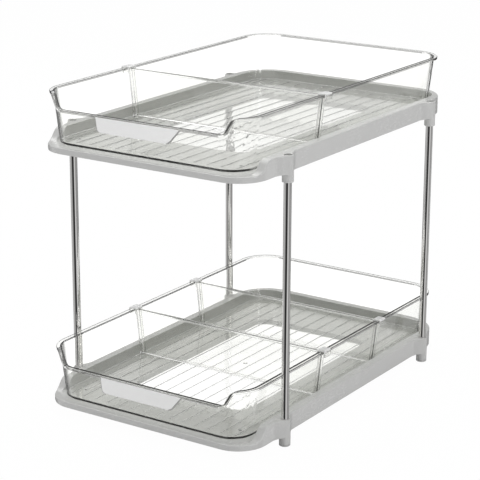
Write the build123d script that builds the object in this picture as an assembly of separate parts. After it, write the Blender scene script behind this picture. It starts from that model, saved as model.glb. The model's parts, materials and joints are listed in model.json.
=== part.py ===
from build123d import *
import os
from math import radians, sqrt, tan

# Two-tier pull-out organiser for the cupboard under a sink.
# Two equal moulded trays stand one above the other on four chromed tubes. Each tray carries
# a clear bin that pulls out to the front, and clear dividers hook over the rims of the bins.
# Millimetres, +Z up, X across the width, the pulls towards -Y.
# The origin is on the floor, below the middle of the whole organiser.

# Trays
tray_width = 222.0
tray_depth = 354.0
tray_front_corner_radius = 28.0
tray_rear_corner_radius = 38.0
tray_wall_height = 16.5
tray_thickness = 2.0
tray_edge_radius = 1.2
lip_height = 5.5
ledge_width = 8.0
tray_inner_corner_radius = 24.0
tray_floor_radius = 2.0
tier_pitch = 234.0

# Fall of each side wall to the front lip
ogee_setback = 25.0
ogee_run = 10.0
ogee_radius = 12.0

# Window through the floor of each tray
window_width = 122.0
window_front_border = 69.0
window_rear_border = 66.0
window_corner_radius = 12.0

# Post sockets, moulded on the outside of the side walls
post_stand_out = 2.3
front_post_setback = 55.5
rear_post_gap = 10.5
socket_radius = 5.0
socket_blend_radius = 18.0
socket_corner_blend_radius = 4.0
socket_depth = 11.0
socket_web = 1.5
socket_clearance = 0.1

# Chromed tubes
tube_radius = 3.4
tube_wall = 0.8

# Feet, plugged into the sockets of the lower tray
foot_thickness = 1.5
foot_edge_radius = 1.2
foot_plug_height = 8.0
foot_reach = 8.5

# Clear bins
bin_side_clearance = 4.0
bin_front_setback = 6.0
bin_rear_clearance = 2.5
bin_height = 46.2
bin_draft = 6.5
bin_wall = 1.8
bin_floor = 2.0
bin_corner_easing = 2.0
bin_edge_radius = 2.0
bin_floor_radius = 1.2
bin_lift = 1.5
runner_clearance = 0.3
runner_width = 3.0
runner_side_gap = 15.0
runner_end_gap = 24.0
rim_overhang = 3.0
rim_thickness = 2.0
rim_edge_radius = 0.6

# A face of a bin that faces up by more than this share of its normal is part of the rim's top
rim_slope_limit_share = 0.2

# Dip of the rim across the front of a bin
dip_depth = 14.0
dip_side_width = 14.0
dip_run = 7.6
dip_radius = 6.0

# Pull, a flared lip under the middle of the front rim
pull_width = 88.0
pull_taper = 7.0
pull_flare = 6.3
pull_drop = 11.0
pull_thickness = 1.8
pull_corner_radius = 5.0
pull_edge_radius = 0.6

# Ribs along the floor of a bin
rib_count = 14
rib_width = 2.0
rib_height = 0.2
rib_side_gap = 10.6
rib_end_gap = 9.0

# Clear dividers
upper_divider_setback = 127.5
lower_front_divider_setback = 133.5
lower_rear_divider_setback = 233.5
divider_thickness = 2.0
divider_clearance = 0.3
divider_top_drop = 0.8
divider_bead_width = 3.4
divider_bead_height = 2.0
divider_foot_width = 5.0
divider_foot_height = 1.2
strip_width = 8.0
strip_thickness = 1.6
hook_width = 10.0
hook_thickness = 1.4
hook_leg = 5.0
hook_corner_radius = 1.2

# One overrun serves every cut
overrun = 10.0

# Levels above the floor of the lower tier
tray_bottom_z = foot_reach
tray_top_z = tray_bottom_z + tray_wall_height
tray_floor_z = tray_bottom_z + lip_height
top_bore_low_z = tray_top_z - socket_depth
lower_bore_top_z = top_bore_low_z - socket_web
bin_base_z = tray_floor_z + bin_lift
bin_floor_z = bin_base_z + bin_floor
rim_z = bin_base_z + bin_height
front_rim_z = rim_z - dip_depth
bin_slope = tan(radians(bin_draft))

# Places along the depth, from the pull's tip at the front to the tray's back
front_lean = (front_rim_z - bin_base_z) * bin_slope
pull_ahead = front_lean + rim_overhang + pull_flare - bin_front_setback
tray_back_y = (tray_depth + pull_ahead) / 2
tray_front_y = tray_back_y - tray_depth
tray_middle_y = (tray_front_y + tray_back_y) / 2
bin_front_y = tray_front_y + bin_front_setback
bin_back_y = tray_back_y - ledge_width - bin_rear_clearance
bin_middle_y = (bin_front_y + bin_back_y) / 2
front_post_y = tray_front_y + front_post_setback
rear_post_y = tray_back_y - tray_rear_corner_radius - rear_post_gap

# Places across the width
post_x = tray_width / 2 + post_stand_out
hollow_width = tray_width - 2 * ledge_width
bin_base_width = hollow_width - 2 * bin_side_clearance
bin_corner_radius = tray_inner_corner_radius - bin_corner_easing


def rounded_outline(width, front_y, back_y, radius):
    """Plan with rounded corners, centred across the width."""
    return Pos(0, (front_y + back_y) / 2, 0) * RectangleRounded(width, back_y - front_y, radius)


def rounded_block(width, front_y, back_y, radius, low_z, high_z):
    """Upright block with rounded corners in plan, centred across the width."""
    return extrude(Pos(0, 0, low_z) * rounded_outline(width, front_y, back_y, radius), amount=high_z - low_z)


def tray_outline(inset):
    """Plan of the tray, drawn in by an inset: the front and rear corners have their own radii."""
    width = tray_width - 2 * inset
    reach = tray_width / 2
    front = rounded_outline(width, tray_front_y + inset, tray_middle_y + reach,
                            tray_front_corner_radius - inset)
    back = rounded_outline(width, tray_middle_y - reach, tray_back_y - inset,
                           tray_rear_corner_radius - inset)
    return front + back


def round_base(block, radius):
    """Round the edges round the bottom of a block."""
    return fillet(block.faces().sort_by(Axis.Z)[0].edges(), radius)


def upright_cylinder(x, y, radius, low_z, high_z):
    """Cylinder that stands at x, y between two levels."""
    return extrude(Pos(x, y, low_z) * Circle(radius), amount=high_z - low_z)


def across_width(face, half_width):
    """Run a face drawn in the Y-Z plane across the width, both ways from the middle."""
    return extrude(Plane.YZ * face, amount=half_width, both=True)


def along_depth(face, front_y, back_y):
    """Run a face drawn in the X-Z plane from the front to the back."""
    return extrude(Plane.XZ.offset(-back_y) * face, amount=back_y - front_y)


def closed_face(top_edge, bottom):
    """Close a line that runs from left to right with a straight bottom."""
    start = top_edge @ 0
    end = top_edge @ 1
    sides = Polyline((end.X, end.Y), (end.X, bottom), (start.X, bottom), (start.X, start.Y))
    return make_face(top_edge.edges() + sides.edges())


def post_places():
    """Name, x and y of each of the four posts."""
    for row, y in (("front", front_post_y), ("rear", rear_post_y)):
        for side, sign in (("left", -1), ("right", 1)):
            yield row + "_" + side, sign * post_x, y


def socket_swell(sign, y, front_blend, back_blend):
    """Plan of one socket outside the side wall, eased into it by a hollow curve at each end."""
    wall_x = tray_width / 2

    def blend(radius, way):
        # the hollow curve touches the wall at one end and the socket at the other
        along = sqrt((radius + socket_radius) ** 2 - (radius - post_stand_out) ** 2)
        centre = Vector(wall_x + radius, way * along)
        touch = Vector(post_x, 0) + (centre - Vector(post_x, 0)) * (socket_radius / (radius + socket_radius))
        wall_point = Vector(wall_x, way * along)
        toward = ((touch + wall_point) * 0.5 - centre).normalized()
        return wall_point, centre + toward * radius, touch

    front_wall, front_mid, front_touch = blend(front_blend, -1)
    back_wall, back_mid, back_touch = blend(back_blend, 1)
    crown = Vector(post_x + socket_radius, 0)
    root = Vector(wall_x - tray_thickness, 0)
    edges = [
        ThreePointArc(front_wall, front_mid, front_touch),
        ThreePointArc(front_touch, crown, back_touch),
        ThreePointArc(back_touch, back_mid, back_wall),
        Polyline(back_wall, Vector(root.X, back_wall.Y), Vector(root.X, front_wall.Y), front_wall),
    ]
    face = make_face([edge for line in edges for edge in line.edges()])
    if sign < 0:
        face = mirror(face, Plane.YZ)
    return Pos(0, y, 0) * face


def tray_side_face(inset):
    """Side view of the tray's top, with the ogee that falls to the lip."""
    lip_z = tray_floor_z
    foot_y = tray_front_y + ogee_setback - ogee_run / 2
    head_y = foot_y + ogee_run
    top_edge = FilletPolyline(
        (tray_front_y - overrun, lip_z),
        (foot_y, lip_z),
        (head_y, tray_top_z),
        (tray_back_y + overrun, tray_top_z),
        radius=ogee_radius,
    )
    face = closed_face(top_edge, tray_bottom_z - overrun)
    return offset(face, amount=-inset) if inset else face


def build_tray():
    """One tray: skirt, ledge, floor with its window, front lip and four sockets."""
    plan = tray_outline(0)
    for sign in (-1, 1):
        plan += socket_swell(sign, front_post_y, socket_blend_radius, socket_blend_radius)
        plan += socket_swell(sign, rear_post_y, socket_blend_radius, socket_corner_blend_radius)
    body = extrude(Pos(0, 0, tray_bottom_z) * plan, amount=tray_wall_height)
    body &= across_width(tray_side_face(0), tray_width)
    upper_edges = [e for e in body.edges() if e.center().Z > tray_floor_z - tray_edge_radius
                   and abs(e.tangent_at(0.5).Z) < 0.99]
    body = fillet(upper_edges, tray_edge_radius)

    hollow_back_y = tray_back_y - ledge_width
    hollow = rounded_block(hollow_width, tray_front_y - hollow_width, hollow_back_y,
                           tray_inner_corner_radius, tray_floor_z, tray_top_z + overrun)
    body -= round_base(hollow, tray_floor_radius)

    window_front_y = tray_front_y + window_front_border
    window_back_y = tray_back_y - window_rear_border
    body -= rounded_block(window_width, window_front_y, window_back_y, window_corner_radius,
                          tray_bottom_z - overrun, tray_top_z)

    body -= tray_underside(hollow_back_y, window_front_y, window_back_y)

    stub_z = foot_thickness
    for _, x, y in post_places():
        body += upright_cylinder(x, y, socket_radius, stub_z, tray_floor_z)
    for _, x, y in post_places():
        bore_radius = tube_radius + socket_clearance
        body -= upright_cylinder(x, y, bore_radius, top_bore_low_z, tray_top_z + overrun)
        body -= upright_cylinder(x, y, bore_radius, stub_z - overrun, lower_bore_top_z)
    return body


def tray_underside(hollow_back_y, window_front_y, window_back_y):
    """What is cored out of the tray from below, so that every wall keeps its thickness."""
    core_low_z = tray_bottom_z - overrun
    inside = extrude(Pos(0, 0, core_low_z) * tray_outline(tray_thickness), amount=tray_top_z - core_low_z)
    inside &= across_width(tray_side_face(tray_thickness), tray_width)
    inner_wall = rounded_block(hollow_width + 2 * tray_thickness, tray_front_y - hollow_width,
                               hollow_back_y + tray_thickness,
                               tray_inner_corner_radius + tray_thickness,
                               tray_floor_z - tray_thickness, tray_top_z + overrun)
    inner_wall = round_base(inner_wall, tray_floor_radius + tray_thickness)
    window_flange = rounded_block(window_width + 2 * tray_thickness, window_front_y - tray_thickness,
                                  window_back_y + tray_thickness,
                                  window_corner_radius + tray_thickness, core_low_z, tray_top_z)
    return inside - inner_wall - window_flange


def bin_block(grow, low_z, high_z):
    """Flared block with the bin's outline, grown outwards, between two levels."""
    sections = []
    for z in (low_z, high_z):
        lean = (z - bin_base_z) * bin_slope + grow
        outline = RectangleRounded(bin_base_width + 2 * lean, bin_back_y - bin_front_y + 2 * lean,
                                   bin_corner_radius + lean)
        sections.append(Pos(0, bin_middle_y, z) * outline)
    return loft(sections, ruled=True)


def rim_front_face(inset):
    """Front view of all that lies below the rim's top, with the dip across the middle."""
    low_x = bin_base_width / 2 - dip_side_width
    high_x = low_x + dip_run
    edge_x = bin_base_width
    top_edge = FilletPolyline(
        (-edge_x, rim_z),
        (-high_x, rim_z),
        (-low_x, front_rim_z),
        (low_x, front_rim_z),
        (high_x, rim_z),
        (edge_x, rim_z),
        radius=dip_radius,
    )
    face = closed_face(top_edge, bin_base_z - overrun)
    return offset(face, amount=-inset) if inset else face


def below_rim(inset):
    """Space below the rim: dipped across the front half of a bin, level over the back half."""
    front = along_depth(rim_front_face(inset), bin_front_y - bin_base_width, bin_middle_y)
    high_z = rim_z - inset
    low_z = bin_base_z - overrun
    back = Pos(0, bin_middle_y, low_z) * Box(
        2 * bin_base_width, 2 * bin_base_width, high_z - low_z, align=(Align.CENTER, Align.MIN, Align.MIN))
    return front + back


def build_pull():
    """Flared lip below the front rim, which the fingers hook behind."""
    slope_length = sqrt(pull_flare ** 2 + pull_drop ** 2)
    top_y = bin_front_y - front_lean - rim_overhang
    top_z = front_rim_z - rim_thickness / 2
    sheet = Plane(origin=(0, top_y, top_z), x_dir=(1, 0, 0), z_dir=(0, -pull_drop, pull_flare))
    half_top = pull_width / 2
    half_bottom = half_top - pull_taper
    outline = make_face(Polyline(
        (-half_top, 0), (-half_bottom, -slope_length), (half_bottom, -slope_length), (half_top, 0),
        close=True))
    low_corners = outline.vertices().sort_by(Axis.Y)[:2]
    outline = fillet(low_corners, pull_corner_radius)
    pull = extrude(sheet * outline, amount=-pull_thickness)
    free_edges = [edge for edge in pull.edges() if edge.center().Z < top_z - pull_thickness
                  and edge.length > pull_thickness + pull_edge_radius]
    return fillet(free_edges, pull_edge_radius)


def rim_top_edges(body):
    """Edges along both sides of the rim's top, all the way round a bin."""
    tops = [face for face in body.faces() if face.normal_at().Z > rim_slope_limit_share
            and face.center().Z > front_rim_z - rim_thickness / 2]
    edges = [edge for face in tops for edge in face.edges()]
    return [edge for edge in edges if sum(edge.is_same(other) for other in edges) == 1]


def build_rib(x):
    """Low rounded rib along the floor of a bin."""
    crown = ThreePointArc((x - rib_width / 2, bin_floor_z), (x, bin_floor_z + rib_height),
                          (x + rib_width / 2, bin_floor_z))
    section = closed_face(crown, bin_floor_z - bin_floor / 2)
    return along_depth(section, bin_front_y + rib_end_gap, bin_back_y - rib_end_gap)


def build_runner(x):
    """Runner under a bin, which slides on the floor of the tray."""
    runner_height = bin_lift - runner_clearance
    section = Pos(x, bin_base_z) * Rectangle(runner_width, 2 * runner_height)
    return along_depth(section, bin_front_y + runner_end_gap, bin_back_y - runner_end_gap)


def build_bin():
    """One clear bin: flared walls, floor with ribs, rim, dip, pull and runners."""
    shell = round_base(bin_block(0, bin_base_z, rim_z), bin_edge_radius)
    flange = bin_block(rim_overhang, bin_floor_z, rim_z) - below_rim(rim_thickness)
    body = (shell + flange) & below_rim(0)
    body += build_pull()
    body -= round_base(bin_block(-bin_wall, bin_floor_z, rim_z + overrun), bin_floor_radius)
    body = fillet(rim_top_edges(body), rim_edge_radius)
    last_rib_x = bin_base_width / 2 - rib_side_gap
    rib_pitch = 2 * last_rib_x / (rib_count - 1)
    for number in range(rib_count):
        body += build_rib(number * rib_pitch - last_rib_x)
    for sign in (-1, 1):
        body += build_runner(sign * (bin_base_width / 2 - runner_side_gap))
    return body


def bin_inner_half(z):
    """Half the clear width inside a bin at a level."""
    return bin_base_width / 2 - bin_wall + (z - bin_base_z) * bin_slope


def divider_span(inset, low_z, high_z):
    """Face between the side walls of a bin, seen from the front, drawn in by an inset."""
    low_x = bin_inner_half(low_z) - inset
    high_x = bin_inner_half(high_z) - inset
    return make_face(Polyline((-low_x, low_z), (low_x, low_z), (high_x, high_z), (-high_x, high_z),
                              close=True))


def build_hook(sign):
    """Front view of the hook at one end of a divider, which goes over the rim."""
    inner_x = bin_inner_half(rim_z) - divider_clearance
    rim_x = bin_inner_half(rim_z) + bin_wall + rim_overhang
    outer_x = rim_x + divider_clearance + hook_thickness
    leg_z = rim_z - hook_leg
    hook = make_face(Polyline(
        (inner_x - strip_thickness, leg_z),
        (inner_x - strip_thickness, rim_z + hook_thickness),
        (outer_x, rim_z + hook_thickness),
        (outer_x, leg_z),
        (outer_x - hook_thickness, leg_z),
        (outer_x - hook_thickness, rim_z),
        (inner_x, rim_z),
        (bin_inner_half(leg_z) - divider_clearance, leg_z),
        close=True))
    top_corners = hook.vertices().sort_by(Axis.Y)[-2:]
    hook = fillet(top_corners, hook_corner_radius)
    return hook if sign > 0 else mirror(hook, Plane.YZ)


def build_divider(setback):
    """Clear divider across a bin: panel, bead, foot, end strips and two hooks."""
    y = tray_front_y + setback
    low_z = bin_floor_z + rib_height + divider_clearance
    high_z = rim_z - divider_top_drop
    bead_low_z = high_z - divider_bead_height
    foot_high_z = low_z + divider_foot_height

    def bar(face, width):
        return along_depth(face, y - width / 2, y + width / 2)

    body = bar(divider_span(divider_clearance, low_z, high_z), divider_thickness)
    body += bar(divider_span(divider_clearance, bead_low_z, high_z), divider_bead_width)
    body += bar(divider_span(divider_clearance, low_z, foot_high_z), divider_foot_width)
    strips = divider_span(divider_clearance, low_z, high_z)
    strips -= divider_span(divider_clearance + strip_thickness, low_z, high_z)
    body += bar(strips, strip_width)
    for sign in (-1, 1):
        body += bar(build_hook(sign), hook_width)
    return body


def build_tube():
    """One chromed tube, standing between the sockets of the two trays."""
    low_z = top_bore_low_z
    high_z = tier_pitch + lower_bore_top_z
    ring = Circle(tube_radius) - Circle(tube_radius - tube_wall)
    return extrude(Pos(0, 0, low_z) * ring, amount=high_z - low_z)


def build_foot():
    """Foot with a rounded edge and a plug that sits in the socket above it."""
    plug_radius = tube_radius
    plug_top_z = foot_thickness + foot_plug_height
    corner = foot_edge_radius * (1 - sqrt(0.5))
    rim = ThreePointArc((socket_radius - foot_edge_radius, 0),
                        (socket_radius - corner, corner),
                        (socket_radius, foot_edge_radius))
    rest = Polyline((socket_radius, foot_edge_radius), (socket_radius, foot_thickness),
                    (plug_radius, foot_thickness), (plug_radius, plug_top_z),
                    (0, plug_top_z), (0, 0), (socket_radius - foot_edge_radius, 0))
    section = make_face(rim.edges() + rest.edges())
    return revolve(Plane.XZ * section, axis=Axis.Z)


def save(name, shape):
    """Write one sub-part."""
    export_step(shape, os.path.join("parts", name + ".step"))


os.makedirs("parts", exist_ok=True)
upper_tier = Pos(0, 0, tier_pitch)

tray = build_tray()
save("lower_frame", tray)
save("upper_frame", upper_tier * tray)

tube = build_tube()
foot = build_foot()
for place_name, place_x, place_y in post_places():
    save(place_name + "_post", Pos(place_x, place_y, 0) * tube)
    save(place_name + "_foot", Pos(place_x, place_y, 0) * foot)

clear_bin = build_bin()
save("lower_drawer", clear_bin)
save("upper_drawer", upper_tier * clear_bin)

save("lower_front_divider", build_divider(lower_front_divider_setback))
save("lower_rear_divider", build_divider(lower_rear_divider_setback))
save("upper_divider", upper_tier * build_divider(upper_divider_setback))
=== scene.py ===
"""Looks of a pull-out organiser for the cupboard under a sink.

Two light grey moulded trays stand on four chromed tubes. Each carries a clear bin with clear
dividers that hook over its rim. Metres, +Z up, the pulls towards -Y, as in the CAD frame.
"""

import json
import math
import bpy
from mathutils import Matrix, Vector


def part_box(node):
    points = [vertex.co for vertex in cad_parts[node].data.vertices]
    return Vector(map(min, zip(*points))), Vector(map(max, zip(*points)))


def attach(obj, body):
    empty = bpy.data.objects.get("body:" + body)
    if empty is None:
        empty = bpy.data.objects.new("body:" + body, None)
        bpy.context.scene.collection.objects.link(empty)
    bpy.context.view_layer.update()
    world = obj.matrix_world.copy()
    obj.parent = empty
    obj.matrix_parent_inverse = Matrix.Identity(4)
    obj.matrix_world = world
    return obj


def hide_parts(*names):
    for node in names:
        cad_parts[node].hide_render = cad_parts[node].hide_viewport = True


bl_info = {
    "name": "Pull-out organiser",
    "version": (1, 0, 0),
    "blender": (4, 5, 0),
    "location": "3D View > Sidebar > Organiser",
    "description": "Finishes the trays, tubes, feet, bins and dividers of an organiser in a pale studio",
    "category": "Object",
}

import bmesh
import bpy
from bpy.props import FloatProperty, FloatVectorProperty, IntProperty, PointerProperty
from bpy.types import Operator, Panel, PropertyGroup
from mathutils import Matrix, Vector

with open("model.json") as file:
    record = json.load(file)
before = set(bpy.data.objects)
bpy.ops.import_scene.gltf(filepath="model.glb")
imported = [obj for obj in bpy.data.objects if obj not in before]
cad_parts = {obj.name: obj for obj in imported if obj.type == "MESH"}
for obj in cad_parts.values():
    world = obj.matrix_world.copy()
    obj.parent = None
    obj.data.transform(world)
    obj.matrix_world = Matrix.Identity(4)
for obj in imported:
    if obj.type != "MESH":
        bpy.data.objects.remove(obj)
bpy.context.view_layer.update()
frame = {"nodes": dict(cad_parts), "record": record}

FRAMES = ("lower_frame", "upper_frame")
BINS = ("lower_drawer", "upper_drawer")
# the dividers and the bin that each one hangs in
DIVIDERS = {
    "lower_front_divider": "lower_drawer",
    "lower_rear_divider": "lower_drawer",
    "upper_divider": "upper_drawer",
}
CORNERS = ("front_left", "front_right", "rear_left", "rear_right")
BODY_OF = {node: body for body, nodes in frame["record"]["behaviour"]["bodies"].items() for node in nodes}

# two vertices nearer than this are one
SAME_POINT = 0.000002
# edges that turn by more than this stay crisp
CRISP_TURN = math.radians(35)
# outward edges that turn by more than this are rounded
EDGE_TURN = math.radians(30)

# the finishes of a bin's faces, in the order of its materials; EDGE, DIP, CORNER and LIP carry painted
# shade, PULL a frosted white that is partly painted reflection
CLEAR, EDGE, DIP, PULL, CORNER, RIB, LIP = range(7)
# the finishes of a divider's rounded edges and hooks, by their place after its clear material; the edges
# carry a painted shade, the hooks a frosted white that is partly painted highlight
BEAD, HOOK = 1, 2
# parts of a face's normal: upright faces have less Z than the first, level faces more than the second
UPRIGHT, LEVEL = 0.2, 0.98
# the top of a rib has more Z in its normal than this
RIB_TOP = 0.9
# an upright face with more X and more Y in its normal than this lies in a rounded corner, which takes the
# corner's painted shade
CORNER_TURN = 0.12
# a face of the pull with more X in its normal than this belongs to its rounded edge, which takes the
# painted edge shade
PULL_TURN = 0.05

# depth of the grain's bumps
GRAIN_DEPTH = 0.0002
# the two families of rubs: turn about Z, and how often they come along X, Y and Z
RUBS = ((0.5, (1.0, 14.0, 5.0)), (-0.9, (12.0, 1.0, 5.0)))

# what mirrors see round them below the horizon: turn from the camera's side in degrees, and its level
FLAGS = (
    (-180, 1.0), (-168, 1.0), (-158, 0.06), (-126, 0.06), (-114, 0.9), (-104, 0.9), (-96, 0.42),
    (-56, 0.42), (-44, 0.03), (4, 0.03), (16, 0.7), (42, 0.7), (56, 0.3), (96, 0.3), (104, 0.9),
    (114, 0.9), (126, 0.06), (158, 0.06), (168, 1.0), (180, 1.0),
)
# heights of a direction, as a sine, between which the flags give way to the studio above
HORIZON = (-0.02, 0.08)
# steepness of a direction, as a sine, from which no flag is seen, and below which flags are full
FLAG_FADE = (0.75, 0.6)

# the lamps, turned to the frame's origin: name, place, and width and length
LAMPS = (
    ("key", (-0.5, 0.6, 1.6), (1.8, 1.8)),
    ("front", (-0.4, -1.3, 1.3), (0.9, 0.9)),
    ("side", (1.4, -0.2, 0.5), (0.3, 1.1)),
)
# millimetres in a metre, and the width of the camera's sensor in millimetres
MILLIMETRES = 1000
SENSOR_WIDTH = 36
# the nearest and the farthest that the camera sees
CAMERA_RANGE = (0.05, 50)


class TrayFinish(PropertyGroup):
    """Finish of the moulded trays and feet."""
    colour: FloatVectorProperty(
        name="Colour", description="Colour of the moulded plastic", subtype="COLOR",
        size=4, min=0, max=1, default=(0.60, 0.60, 0.594, 1))
    mottle: FloatProperty(
        name="Mottle", description="How much darker the plastic is in places", default=0.035, min=0, max=1,
        subtype="FACTOR")
    roughness: FloatProperty(
        name="Roughness", description="Sheen of the moulded plastic", default=0.24, min=0, max=1)
    roughness_spread: FloatProperty(
        name="Roughness spread", description="How far the sheen strays", default=0.05, min=0, max=1)
    rub_share: FloatProperty(
        name="Rubs", description="Share of the rubs in the sheen", default=0.4, min=0, max=1,
        subtype="FACTOR")
    grain: FloatProperty(
        name="Grain", description="Strength of the fine grain", default=0.08, min=0, max=1)
    ior: FloatProperty(name="Refraction", description="Index of refraction", default=1.5, min=1, max=2)
    coat: FloatProperty(
        name="Coat", description="Weight of the glossy skin", default=0.3, min=0, max=1, subtype="FACTOR")
    coat_roughness: FloatProperty(
        name="Coat roughness", description="Sheen of the glossy skin", default=0.1, min=0, max=1)
    edge: FloatProperty(
        name="Edge", description="Rounding of the outward edges", default=0.0006, min=0.0001, max=0.0009,
        subtype="DISTANCE", unit="LENGTH")
    edge_steps: IntProperty(
        name="Edge steps", description="Strips in each rounded edge", default=2, min=1, max=4)


class ClearFinish(PropertyGroup):
    """Finish of the clear bins and dividers."""
    colour: FloatVectorProperty(
        name="Tint", description="Tint of the clear plastic", subtype="COLOR",
        size=4, min=0, max=1, default=(0.987, 0.989, 0.975, 1))
    ior: FloatProperty(name="Refraction", description="Index of refraction", default=1.49, min=1, max=2)
    roughness: FloatProperty(
        name="Roughness", description="Haze of the clear plastic", default=0.015, min=0, max=1)
    roughness_spread: FloatProperty(
        name="Roughness spread", description="Share of its haze by which a clear plastic strays",
        default=0.5, min=0, max=1, subtype="FACTOR")
    rub_share: FloatProperty(
        name="Rubs", description="Share of the rubs in the haze", default=0.5, min=0, max=1,
        subtype="FACTOR")
    shade_colour: FloatVectorProperty(
        name="Shade tint", description="Light that a clear wall lets through to what is behind it",
        subtype="COLOR", size=4, min=0, max=1, default=(0.9, 0.905, 0.89, 1))
    # painted shade: the edge tint darkens the narrow rounded faces to stand in for the dark lines that
    # refraction draws along clear edges
    painted_edge_shade: FloatVectorProperty(
        name="Edge tint", description="Tint of the edges, where the plastic gathers its colour",
        subtype="COLOR", size=4, min=0, max=1, default=(0.17, 0.17, 0.167, 1))
    edge_width: FloatProperty(
        name="Edge width", description="Faces narrower than this belong to a rounded edge", default=0.0005,
        min=0, subtype="DISTANCE", unit="LENGTH")
    edge_start: FloatProperty(
        name="Edge start", description="Height above a bin's base from which its edges are tinted",
        default=0.012, min=0, subtype="DISTANCE", unit="LENGTH")
    # painted shade: a grey tint that lets less light through stands in for the dark stroke where the rim
    # falls to the front
    dip_shade_colour: FloatVectorProperty(
        name="Dip tint", description="Tint of the edges where the rim falls to the front",
        subtype="COLOR", size=4, min=0, max=1, default=(0.5, 0.5, 0.49, 1))
    dip_clearness: FloatProperty(
        name="Dip clearness", description="Share of the light that goes through the dip's edges",
        default=0.7, min=0, max=1, subtype="FACTOR")
    dip_depth: FloatProperty(
        name="Dip depth", description="How far the rim falls to the front", default=0.014, min=0,
        subtype="DISTANCE", unit="LENGTH")
    dip_margin: FloatProperty(
        name="Dip margin", description="Height at each end of the dip that keeps the rim's tint",
        default=0.001, min=0, subtype="DISTANCE", unit="LENGTH")
    # painted shade: a dark grey tint on the rim's outer lip stands in for the dark lines that the clear rim
    # shows
    lip_shade_colour: FloatVectorProperty(
        name="Lip tint", description="Tint of the rim's outer lip",
        subtype="COLOR", size=4, min=0, max=1, default=(0.3, 0.3, 0.295, 1))
    lip_height: FloatProperty(
        name="Lip height", description="Upright faces lower than this belong to the rim's outer lip",
        default=0.0016, min=0, subtype="DISTANCE", unit="LENGTH")
    rim_height: FloatProperty(
        name="Rim height", description="Height of the rim's outer face", default=0.0022, min=0,
        subtype="DISTANCE", unit="LENGTH")
    # partly painted reflection: the pull's white frosted tone also stands in for the white surroundings
    # that its sloping face reflects
    pull_frost_and_reflection: FloatVectorProperty(
        name="Pull colour", description="Colour of the frosted pulls", subtype="COLOR",
        size=4, min=0, max=1, default=(0.97, 0.97, 0.97, 1))
    pull_clearness: FloatProperty(
        name="Pull clearness", description="Share of the light that goes through a frosted pull",
        default=0.2, min=0, max=1, subtype="FACTOR")
    pull_roughness: FloatVectorProperty(
        name="Pull roughness", description="Least and greatest roughness of a frosted pull",
        size=2, min=0, max=1, default=(0.18, 0.26))
    pull_grain: FloatProperty(
        name="Pull grain", description="Strength of a frosted pull's grain", default=0.2, min=0, max=1)
    pull_depth: FloatProperty(
        name="Pull depth", description="How far the pull stands ahead of the rim", default=0.006, min=0,
        subtype="DISTANCE", unit="LENGTH")
    # painted shade: a rounded corner's tint falls to this share where the wall is seen along its face
    graze_shade_share: FloatProperty(
        name="Graze", description="Share of light that a curved wall keeps where it is seen along its face",
        default=0.1, min=0, max=1, subtype="FACTOR")
    graze_start: FloatProperty(
        name="Graze start", description="Facing from which a curved wall darkens", default=0.5, min=0,
        max=1, subtype="FACTOR")
    graze_end: FloatProperty(
        name="Graze end", description="Facing at which a curved wall is darkest", default=0.66, min=0,
        max=1, subtype="FACTOR")
    floor_level: FloatProperty(
        name="Floor level", description="Height of the floor's upper face above a bin's lowest point",
        default=0.00321, min=0, subtype="DISTANCE", unit="LENGTH")
    rib_height: FloatProperty(
        name="Rib height", description="Height of the ribs along the floor", default=0.0002, min=0,
        subtype="DISTANCE", unit="LENGTH")
    rib_roughness: FloatProperty(
        name="Rib roughness", description="Haze of the ribs", default=0.2, min=0, max=1)
    gate_radius: FloatProperty(
        name="Gate radius", description="Radius of the gate mark in the middle of the floor",
        default=0.0022, min=0.0005, max=0.004, subtype="DISTANCE", unit="LENGTH")
    gate_height: FloatProperty(
        name="Gate height", description="Height of the gate mark", default=0.0004, min=0.0001, max=0.001,
        subtype="DISTANCE", unit="LENGTH")
    gate_offset: FloatProperty(
        name="Gate offset", description="From the middle of the bin's depth to its gate mark",
        default=-0.0068, subtype="DISTANCE", unit="LENGTH")
    gate_sides: IntProperty(
        name="Gate sides", description="Sides of the round gate mark", default=40, min=12, max=96)
    # painted shade: a grey tint on a divider's rounded edges stands in for the lines that refraction draws
    # there
    divider_shade_colour: FloatVectorProperty(
        name="Divider edge tint", description="Tint of the edges of a divider", subtype="COLOR",
        size=4, min=0, max=1, default=(0.82, 0.825, 0.805, 1))
    divider_edge: FloatProperty(
        name="Divider edge", description="Rounding of the edges of a divider", default=0.0003, min=0.00005,
        max=0.0005, subtype="DISTANCE", unit="LENGTH")
    edge_steps: IntProperty(
        name="Edge steps", description="Strips in each rounded edge", default=2, min=1, max=4)


class TubeFinish(PropertyGroup):
    """Finish of the chromed tubes."""
    colour: FloatVectorProperty(
        name="Colour", description="Colour of the chrome", subtype="COLOR",
        size=4, min=0, max=1, default=(0.80, 0.79, 0.78, 1))
    roughness: FloatProperty(
        name="Roughness", description="Polish of the chrome", default=0.07, min=0, max=1)
    roughness_spread: FloatProperty(
        name="Roughness spread", description="Share of its roughness by which the polish strays",
        default=0.2, min=0, max=1, subtype="FACTOR")
    rub_share: FloatProperty(
        name="Rubs", description="Share of the rubs in the polish", default=0.1, min=0, max=1,
        subtype="FACTOR")
    rub_reach: FloatProperty(
        name="Rub width", description="Width of the rubs in their noise", default=0.04, min=0.01, max=0.2)


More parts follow.
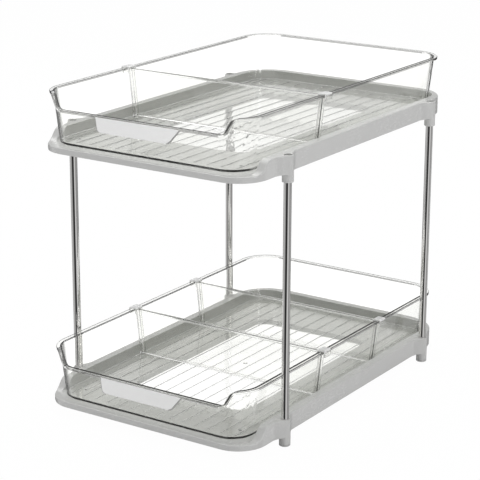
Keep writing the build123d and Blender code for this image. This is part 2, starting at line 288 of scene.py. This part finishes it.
class StudioSetting(PropertyGroup):
    """Camera, floor, lamps and the light from all round."""
    lens: FloatProperty(
        name="Lens", description="Focal length", default=0.1324545, subtype="DISTANCE_CAMERA")
    distance: FloatProperty(
        name="Distance", description="From the aim to the camera, along its axis",
        default=1.58006, subtype="DISTANCE", unit="LENGTH")
    azimuth: FloatProperty(
        name="Azimuth", description="Turn of the camera to the right of the front",
        default=math.radians(33.566), subtype="ANGLE")
    elevation: FloatProperty(
        name="Elevation", description="Tilt of the camera above the floor",
        default=math.radians(16.759), subtype="ANGLE")
    roll: FloatProperty(
        name="Roll", description="Roll of the camera", default=math.radians(0.220), subtype="ANGLE")
    aim: FloatVectorProperty(
        name="Aim", description="Point that the camera's distance and offset are counted from",
        size=3, default=(0.0, -0.1180, 0.0247), subtype="TRANSLATION", unit="LENGTH")
    offset: FloatVectorProperty(
        name="Offset", description="Step of the camera to its right and up",
        size=2, default=(0.05562, 0.13538), subtype="TRANSLATION", unit="LENGTH")
    world_level: FloatProperty(
        name="World level", description="Strength of the light from all round", default=0.5, min=0)
    through_level: FloatProperty(
        name="Through level", description="Level of the background where clear plastic shows it",
        default=1.2, min=0)
    upper_level: FloatProperty(
        name="Upper level", description="Level of the studio above the horizon, as mirrors see it",
        default=0.35, min=0)
    edge_level: FloatProperty(
        name="Edge level", description="Light that reaches clear plastic by a turn inside it",
        default=0.85, min=0)
    key_level: FloatProperty(
        name="Key lamp", description="Power of the large lamp above", default=20.0, min=0, subtype="POWER")
    front_level: FloatProperty(
        name="Front lamp", description="Power of the lamp ahead", default=4.0, min=0, subtype="POWER")
    side_level: FloatProperty(
        name="Side lamp", description="Power of the tall lamp at the right", default=4.0, min=0,
        subtype="POWER")
    floor_size: FloatProperty(
        name="Floor", description="Length and width of the floor", default=8.0, subtype="DISTANCE",
        unit="LENGTH")
    floor_grey: FloatProperty(
        name="Floor grey", description="Matt tone of the floor, as lamps light it", default=0.9, min=0,
        max=1, subtype="FACTOR")
    floor_white: FloatProperty(
        name="Floor white", description="How far the floor goes to white for the camera",
        default=0.985, min=0, max=1, subtype="FACTOR")


class PaintBox:
    """Adds nodes to a node tree and links them in one line."""

    def __init__(self, tree):
        self.tree = tree
        tree.nodes.clear()

    def put(self, node, name, value):
        """Set an input of a node, or link an output to it."""
        socket = node.inputs[name]
        if isinstance(value, bpy.types.NodeSocket):
            self.tree.links.new(value, socket)
        else:
            socket.default_value = value

    def node(self, kind, settings=None, **inputs):
        """Add a node with its settings and its named inputs."""
        made = self.tree.nodes.new(kind)
        for name, value in (settings or {}).items():
            setattr(made, name, value)
        for name, value in inputs.items():
            self.put(made, name.replace("_", " "), value)
        return made

    def maths(self, operation, *values):
        """Add a Math node and give its result."""
        made = self.node("ShaderNodeMath", {"operation": operation})
        for place, value in enumerate(values):
            self.put(made, place, value)
        return made.outputs[0]

    def mix_colours(self, share, low, high):
        """Mix two colours by a share, and give the result."""
        made = self.node("ShaderNodeMix", {"data_type": "RGBA"})
        # a Mix node has its colour inputs at places 6 and 7, and its colour output at place 2
        for place, value in zip((0, 6, 7), (share, low, high)):
            self.put(made, place, value)
        return made.outputs[2]

    def mix_shaders(self, share, low, high):
        """Mix two shader nodes by a share, and give the result."""
        made = self.node("ShaderNodeMixShader")
        for place, value in enumerate((share, low.outputs[0], high.outputs[0])):
            self.put(made, place, value)
        return made.outputs[0]

    def scale(self, value, low, high, start=0.0, end=1.0):
        """Map a value from one range to another, and give the result."""
        return self.node("ShaderNodeMapRange", Value=value, From_Min=start, From_Max=end,
                         To_Min=low, To_Max=high).outputs[0]


def grey(level):
    """A grey of a level from 0 to 1."""
    return (level, level, level, 1)


def dimmed(colour, share):
    """A colour that keeps only a share of its light."""
    return [part * share for part in colour[:3]] + [1]


def new_material(name):
    """Start a material, and give it with the box that paints it."""
    made = bpy.data.materials.new(name)
    made.use_nodes = True
    return made, PaintBox(made.node_tree)


def put_material(piece, made):
    """Give a piece one material all over."""
    piece.data.materials.clear()
    piece.data.materials.append(made)


def new_group(name, inputs, outputs):
    """Start a node group with number inputs and outputs, or give the one already there."""
    found = bpy.data.node_groups.get(name)
    if found:
        return found, None, None
    tree = bpy.data.node_groups.new(name, "ShaderNodeTree")
    for title, value in inputs:
        socket = tree.interface.new_socket(title, in_out="INPUT", socket_type="NodeSocketFloat")
        socket.default_value = value
    for title in outputs:
        tree.interface.new_socket(title, in_out="OUTPUT", socket_type="NodeSocketFloat")
    box = PaintBox(tree)
    return tree, box, box.node("NodeGroupInput")


def grain_group():
    """Fine grain of a moulded surface, with slow waves under it."""
    tree, box, given = new_group(
        "Moulded grain", (("Grain Scale", 2400.0), ("Wave Scale", 24.0), ("Grain", 0.6), ("Wave", 0.4)),
        ("Height", "Mottle"))
    if box:
        place = box.node("ShaderNodeTexCoord").outputs["Object"]
        grain = box.node("ShaderNodeTexNoise", Vector=place, Scale=given.outputs["Grain Scale"], Detail=2.0)
        wave = box.node("ShaderNodeTexNoise", Vector=place, Scale=given.outputs["Wave Scale"], Detail=3.0)
        fine = box.maths("MULTIPLY", grain.outputs["Fac"], given.outputs["Grain"])
        height = box.maths("MULTIPLY_ADD", wave.outputs["Fac"], given.outputs["Wave"], fine)
        box.node("NodeGroupOutput", Height=height, Mottle=wave.outputs["Fac"])
    return tree


def rub_group():
    """Faint rubs from handling: long thin marks that lie across the light."""
    tree, box, given = new_group("Handling rubs", (("Scale", 60.0), ("Reach", 0.06)), ("Rub",))
    if box:
        place = box.node("ShaderNodeTexCoord").outputs["Object"]
        marks = 0.0
        for turn, stretch in RUBS:
            drawn = box.node("ShaderNodeMapping", Vector=place, Rotation=(0, 0, turn), Scale=stretch)
            noise = box.node("ShaderNodeTexNoise", Vector=drawn.outputs[0], Scale=given.outputs["Scale"],
                             Detail=1.0)
            away = box.maths("ABSOLUTE", box.maths("SUBTRACT", noise.outputs["Fac"], 0.5))
            line = box.maths("SUBTRACT", 1.0, box.maths("DIVIDE", away, given.outputs["Reach"]))
            marks = box.maths("MAXIMUM", line, marks)
        box.node("NodeGroupOutput", Rub=marks)
    return tree


def grained(box, **inputs):
    """Height and mottle of a moulded surface."""
    made = box.node("ShaderNodeGroup", {"node_tree": grain_group()}, **inputs)
    return made.outputs["Height"], made.outputs["Mottle"]


def rubbed(box, mottle, share, **inputs):
    """A mottle with a share of the rubs in it."""
    made = box.node("ShaderNodeGroup", {"node_tree": rub_group()}, **inputs)
    return box.maths("MULTIPLY_ADD", made.outputs["Rub"], share, mottle)


def tray_plastic(finish):
    """Light grey plastic with a fine grain, a slow mottle and a half-gloss skin."""
    made, box = new_material("Light grey moulded plastic")
    height, mottle = grained(box)
    colour = box.mix_colours(mottle, dimmed(finish.colour, 1 - finish.mottle), finish.colour[:])
    rough = box.scale(rubbed(box, mottle, finish.rub_share), finish.roughness - finish.roughness_spread,
                      finish.roughness + finish.roughness_spread)
    bump = box.node("ShaderNodeBump", Strength=finish.grain, Distance=GRAIN_DEPTH, Height=height)
    skin = box.node("ShaderNodeBsdfPrincipled", Base_Color=colour, Roughness=rough, IOR=finish.ior,
                    Normal=bump.outputs[0], Coat_Weight=finish.coat, Coat_Roughness=finish.coat_roughness)
    box.node("ShaderNodeOutputMaterial", Surface=skin.outputs[0])
    return made


def let_light_through(box, finish, skin):
    """Let lamps and soft light pass a clear skin to what is behind it, and finish the material."""
    path = box.node("ShaderNodeLightPath")
    lamps = box.maths("MAXIMUM", path.outputs["Is Shadow Ray"], path.outputs["Is Diffuse Ray"])
    through = box.node("ShaderNodeBsdfTransparent", Color=finish.shade_colour[:])
    box.node("ShaderNodeOutputMaterial", Surface=box.mix_shaders(lamps, skin, through))


def clear_plastic(name, finish, tint, haze, clearness=1.0, is_corner=False):
    """Clear moulded plastic of a tint; in a corner a painted shade darkens it where it is seen along its
    face.
    """
    made, box = new_material(name)
    mottle = grained(box)[1]
    rough = box.scale(rubbed(box, mottle, finish.rub_share), haze * (1 - finish.roughness_spread),
                      haze * (1 + finish.roughness_spread))
    colour = tint[:]
    if is_corner:
        # painted shade: the tint darkens as the face turns away from the view
        facing = box.node("ShaderNodeLayerWeight").outputs["Facing"]
        graze = box.scale(facing, 0.0, 1.0, finish.graze_start, finish.graze_end)
        colour = box.mix_colours(graze, tint[:], dimmed(tint, finish.graze_shade_share))
    skin = box.node("ShaderNodeBsdfPrincipled", Base_Color=colour, Roughness=rough, IOR=finish.ior,
                    Transmission_Weight=clearness)
    let_light_through(box, finish, skin)
    return made


def frosted_plastic(finish):
    """Clear plastic with a frosted face, as on the pulls; its white tone is partly a painted reflection of
    the white surroundings.
    """
    made, box = new_material("Frosted plastic")
    height, mottle = grained(box, Grain=1.0)
    rough = box.scale(mottle, *finish.pull_roughness)
    bump = box.node("ShaderNodeBump", Strength=finish.pull_grain, Distance=GRAIN_DEPTH, Height=height)
    skin = box.node("ShaderNodeBsdfPrincipled", Base_Color=finish.pull_frost_and_reflection[:], Roughness=rough,
                    Normal=bump.outputs[0], IOR=finish.ior, Transmission_Weight=finish.pull_clearness)
    let_light_through(box, finish, skin)
    return made


def chrome(finish):
    """Polished chrome with faint rubs."""
    made, box = new_material("Polished chrome")
    mottle = grained(box)[1]
    rough = box.scale(rubbed(box, mottle, finish.rub_share, Reach=finish.rub_reach),
                      finish.roughness * (1 - finish.roughness_spread),
                      finish.roughness * (1 + finish.roughness_spread))
    skin = box.node("ShaderNodeBsdfPrincipled", Base_Color=finish.colour[:], Roughness=rough, Metallic=1.0)
    box.node("ShaderNodeOutputMaterial", Surface=skin.outputs[0])
    return made


def taken_shape(node):
    """A CAD node's shape with its loose triangles joined."""
    shape = bmesh.new()
    shape.from_mesh(frame["nodes"][node].data)
    bmesh.ops.remove_doubles(shape, verts=shape.verts[:], dist=SAME_POINT)
    return shape


def ease_edges(shape, width, steps):
    """Round the outward edges of a shape, as its mould does, and return the new faces."""
    edges = [edge for edge in shape.edges if edge.is_convex and edge.calc_face_angle(0) > EDGE_TURN]
    made = bmesh.ops.bevel(shape, geom=edges, offset=width, offset_type="OFFSET", segments=steps,
                           profile=0.5, affect="EDGES", clamp_overlap=False, material=-1)
    return made["faces"]


def moulded_piece(name, shape, node, slot, *materials, replaces=True):
    """Make a piece of a shape, on the body of a CAD node and as a rule in its place."""
    for face in shape.faces:
        face.smooth = True
    for edge in shape.edges:
        edge.smooth = edge.calc_face_angle(0) < CRISP_TURN
    mesh = bpy.data.meshes.new(name)
    shape.to_mesh(mesh)
    shape.free()
    for made in materials:
        mesh.materials.append(made)
    piece = bpy.data.objects.new(name, mesh)
    bpy.context.scene.collection.objects.link(piece)
    even = piece.modifiers.new("Flat faces stay flat", "WEIGHTED_NORMAL")
    even.keep_sharp = True
    if replaces:
        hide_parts(node)
    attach(piece, BODY_OF[node])


class ORGANISER_OT_trays(Operator):
    """Finish the two moulded trays and the four feet"""
    bl_idname = "organiser.trays"
    bl_label = "Trays and feet"

    def execute(self, context):
        finish = context.scene.organiser_tray
        made = tray_plastic(finish)
        for node in FRAMES:
            shape = taken_shape(node)
            ease_edges(shape, finish.edge, finish.edge_steps)
            moulded_piece(node + "_moulding", shape, node, "frame_plastic", made)
        for corner in CORNERS:
            put_material(frame["nodes"][corner + "_foot"], made)
        return {"FINISHED"}


class ORGANISER_OT_tubes(Operator):
    """Finish the four chromed tubes"""
    bl_idname = "organiser.tubes"
    bl_label = "Tubes"

    def execute(self, context):
        made = chrome(context.scene.organiser_tube)
        for corner in CORNERS:
            put_material(frame["nodes"][corner + "_post"], made)
        return {"FINISHED"}


def bin_finish(face, finish, low, high):
    """Which of a bin's finishes a face takes, by its place, its slope and its width."""
    centre, normal = face.calc_center_median(), face.normal
    rise, drop = centre.z - low.z, high.z - centre.z
    # the pull's sides take the painted edge shade
    if centre.y < low.y + finish.pull_depth:
        return EDGE if abs(normal.x) > PULL_TURN else PULL
    if abs(normal.z) < UPRIGHT:
        if min(abs(normal.x), abs(normal.y)) > CORNER_TURN:
            return CORNER
        # low upright faces on the rim's outer lip take its painted shade
        rim_start = finish.rim_height + (finish.dip_depth if centre.y < 0 else 0.0)
        heights = [corner.co.z for corner in face.verts]
        is_low = max(heights) - min(heights) < finish.lip_height
        return LIP if is_low and drop < rim_start else CLEAR
    if normal.z > RIB_TOP and finish.floor_level < rise < finish.floor_level + finish.rib_height:
        return RIB
    is_level = abs(normal.z) > LEVEL
    # sloping faces where the rim falls take the painted shade of the dip
    if normal.z > 0 and not is_level and finish.dip_margin < drop < finish.dip_depth - finish.dip_margin:
        return DIP
    # narrow rounded faces high on the bin take the painted edge shade
    width = face.calc_area() / max(edge.calc_length() for edge in face.edges)
    is_edge = width < finish.edge_width and not is_level
    return EDGE if is_edge and rise > finish.edge_start else CLEAR


def gate_mark(node, finish, low, high, made):
    """The low round mark that the mould's gate leaves in the middle of a bin's floor."""
    shape = bmesh.new()
    bmesh.ops.create_cone(shape, cap_ends=True, segments=finish.gate_sides, radius1=finish.gate_radius,
                          radius2=finish.gate_radius, depth=2 * finish.gate_height)
    ease_edges(shape, finish.gate_height / 2, finish.edge_steps)
    place = Vector((0, (low.y + high.y) / 2 + finish.gate_offset, low.z + finish.floor_level))
    bmesh.ops.translate(shape, verts=shape.verts[:], vec=place)
    moulded_piece(node + "_gate_mark", shape, node, "clear_plastic", made, replaces=False)


def bin_materials(finish):
    """The materials of a bin, in the order of its finishes."""
    plain, haze = finish.colour, finish.roughness
    return (
        clear_plastic("Clear moulded plastic", finish, plain, haze),
        clear_plastic("Edge of clear plastic", finish, finish.painted_edge_shade, haze),
        clear_plastic("Dip of clear plastic", finish, finish.dip_shade_colour, haze, finish.dip_clearness),
        frosted_plastic(finish),
        clear_plastic("Corner of clear plastic", finish, plain, haze, is_corner=True),
        clear_plastic("Rib of clear plastic", finish, plain, finish.rib_roughness),
        clear_plastic("Lip of clear plastic", finish, finish.lip_shade_colour, haze),
    )


class ORGANISER_OT_bins(Operator):
    """Finish the clear bins and their dividers"""
    bl_idname = "organiser.bins"
    bl_label = "Bins and dividers"

    def execute(self, context):
        finish = context.scene.organiser_clear
        made = bin_materials(finish)
        for node in BINS:
            low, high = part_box(node)
            shape = taken_shape(node)
            for face in shape.faces:
                face.material_index = bin_finish(face, finish, low, high)
            moulded_piece(node + "_moulding", shape, node, "clear_plastic", *made)
            gate_mark(node, finish, low, high, made[CLEAR])

        shaded_bead = clear_plastic("Edge of a divider", finish, finish.divider_shade_colour, finish.roughness)
        for node, holder in DIVIDERS.items():
            rim_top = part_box(holder)[1].z
            shape = taken_shape(node)
            # the rounded edges take the divider's painted shade
            for face in ease_edges(shape, finish.divider_edge, finish.edge_steps):
                face.material_index = BEAD
            # the hooks above the rim take the frosted white, which is partly a painted highlight of their
            # pale look
            for face in shape.faces:
                if face.calc_center_median().z > rim_top:
                    face.material_index = HOOK
            moulded_piece(node + "_moulding", shape, node, "clear_plastic", made[CLEAR], shaded_bead, made[PULL])
        return {"FINISHED"}


def camera_place(setting):
    """The camera's matrix: at its distance and offset from the aim, looking along its axis."""
    turn, tilt, roll = setting.azimuth, setting.elevation, setting.roll
    back = Vector((math.sin(turn) * math.cos(tilt), -math.cos(turn) * math.cos(tilt), math.sin(tilt)))
    right = Vector((math.cos(turn), math.sin(turn), 0))
    up = back.cross(right)
    right, up = (math.cos(roll) * right + math.sin(roll) * up,
                 -math.sin(roll) * right + math.cos(roll) * up)
    aside, higher = setting.offset
    place = Vector(setting.aim) + back * setting.distance + right * aside + up * higher
    return Matrix.LocRotScale(place, Matrix((right, up, back)).transposed(), None)


def seen_rays(box, path):
    """1 for rays that show the studio to the camera, to mirrors or through clear plastic."""
    seen = box.maths("MAXIMUM", path.outputs["Is Camera Ray"], path.outputs["Is Transmission Ray"])
    return box.maths("MAXIMUM", seen, path.outputs["Is Glossy Ray"])


def white_floor(setting):
    """Matt white floor that goes to plain white where it is seen, and keeps the shadow."""
    made, box = new_material("White floor")
    share = box.maths("MULTIPLY", seen_rays(box, box.node("ShaderNodeLightPath")), setting.floor_white)
    matt = box.node("ShaderNodeBsdfDiffuse", Color=grey(setting.floor_grey))
    white = box.node("ShaderNodeEmission", Color=grey(1.0), Strength=1.0)
    box.node("ShaderNodeOutputMaterial", Surface=box.mix_shaders(share, matt, white))
    return made


def flags_level(box, setting, turned):
    """Level of the flags by direction: a colour ramp round the object below the horizon."""
    ahead = box.maths("MULTIPLY", turned.outputs["Y"], -1.0)
    turn = box.scale(box.maths("ARCTAN2", turned.outputs["X"], ahead), 0.0, 1.0, -math.pi, math.pi)
    flags = box.node("ShaderNodeValToRGB", Fac=turn)
    ramp = flags.color_ramp
    while len(ramp.elements) < len(FLAGS):
        ramp.elements.new(0.5)
    for stop, (degrees, level) in zip(ramp.elements, FLAGS):
        stop.position = (degrees + 180) / 360
        stop.color = grey(level)
    above = box.scale(turned.outputs["Z"], 0.0, 1.0, *HORIZON)
    return box.mix_colours(above, flags.outputs[0], grey(setting.upper_level))


def pale_studio(setting):
    """World: even light, a white background, and flags that only mirrors see."""
    world = bpy.data.worlds.new("Pale studio")
    world.use_nodes = True
    box = PaintBox(world.node_tree)
    path = box.node("ShaderNodeLightPath")
    place = box.node("ShaderNodeTexCoord").outputs["Generated"]
    from_camera = box.node("ShaderNodeVectorRotate", {"rotation_type": "Z_AXIS"}, Vector=place,
                           Angle=-setting.azimuth)
    turned = box.node("ShaderNodeSeparateXYZ", Vector=from_camera.outputs[0])
    steepness = box.maths("ABSOLUTE", turned.outputs["Z"])
    mirrored = box.maths("MULTIPLY", box.scale(steepness, 0.0, 1.0, *FLAG_FADE),
                         path.outputs["Is Glossy Ray"])
    tone = box.mix_colours(mirrored, grey(1.0), flags_level(box, setting, turned))
    through = box.mix_colours(path.outputs["Is Transmission Ray"], tone, grey(setting.through_level))
    inside = box.maths("MINIMUM", path.outputs["Glossy Depth"], path.outputs["Is Transmission Ray"])
    colour = box.mix_colours(inside, through, grey(setting.edge_level))
    strength = box.scale(seen_rays(box, path), setting.world_level, 1.0)
    sky = box.node("ShaderNodeBackground", Color=colour, Strength=strength)
    box.node("ShaderNodeOutputWorld", Surface=sky.outputs[0])
    return world


def put_floor(setting):
    """Lay the floor, which mirrors and clear plastic don't see."""
    shape = bmesh.new()
    bmesh.ops.create_grid(shape, x_segments=1, y_segments=1, size=setting.floor_size / 2)
    mesh = bpy.data.meshes.new("studio_floor")
    shape.to_mesh(mesh)
    shape.free()
    floor = bpy.data.objects.new("studio_floor", mesh)
    bpy.context.scene.collection.objects.link(floor)
    floor.visible_glossy = floor.visible_transmission = False
    put_material(floor, white_floor(setting))


def put_lamps(setting):
    """Hang the lamps, each one turned to the frame's origin."""
    for name, place, size in LAMPS:
        light = bpy.data.lights.new(name + "_lamp", "AREA")
        light.shape, light.energy = "RECTANGLE", getattr(setting, name + "_level")
        light.size, light.size_y = size
        lamp = bpy.data.objects.new(name + "_lamp", light)
        lamp.location = place
        lamp.rotation_euler = (-Vector(place)).to_track_quat("-Z", "Y").to_euler()
        bpy.context.scene.collection.objects.link(lamp)


def put_camera(setting):
    """Set up the camera."""
    view = bpy.data.cameras.new("camera")
    view.lens = setting.lens * MILLIMETRES
    view.sensor_width = SENSOR_WIDTH
    view.clip_start, view.clip_end = CAMERA_RANGE
    camera = bpy.data.objects.new("camera", view)
    camera.matrix_world = camera_place(setting)
    bpy.context.scene.collection.objects.link(camera)
    bpy.context.scene.camera = camera


class ORGANISER_OT_stage(Operator):
    """Set the floor, the lamps, the world and the camera"""
    bl_idname = "organiser.stage"
    bl_label = "Stage"

    def execute(self, context):
        setting = context.scene.organiser_studio
        context.scene.view_settings.view_transform = "Standard"
        context.scene.world = pale_studio(setting)
        put_floor(setting)
        put_lamps(setting)
        put_camera(setting)
        return {"FINISHED"}


STEPS = ("trays", "tubes", "bins", "stage")


class ORGANISER_PT_panel(Panel):
    """Buttons for each step"""
    bl_label = "Organiser"
    bl_idname = "ORGANISER_PT_panel"
    bl_space_type = "VIEW_3D"
    bl_region_type = "UI"
    bl_category = "Organiser"

    def draw(self, context):
        for step in STEPS:
            self.layout.operator("organiser." + step)


SETTINGS = {
    "organiser_tray": TrayFinish,
    "organiser_clear": ClearFinish,
    "organiser_tube": TubeFinish,
    "organiser_studio": StudioSetting,
}
CLASSES = (*SETTINGS.values(), ORGANISER_OT_trays, ORGANISER_OT_tubes, ORGANISER_OT_bins,
           ORGANISER_OT_stage, ORGANISER_PT_panel)


def register():
    for kind in CLASSES:
        bpy.utils.register_class(kind)
    for name, kind in SETTINGS.items():
        setattr(bpy.types.Scene, name, PointerProperty(type=kind))


def unregister():
    for name in SETTINGS:
        delattr(bpy.types.Scene, name)
    for kind in reversed(CLASSES):
        bpy.utils.unregister_class(kind)


def main():
    register()
    for step in STEPS:
        getattr(bpy.ops.organiser, step)()


if __name__ == "__main__":
    main()
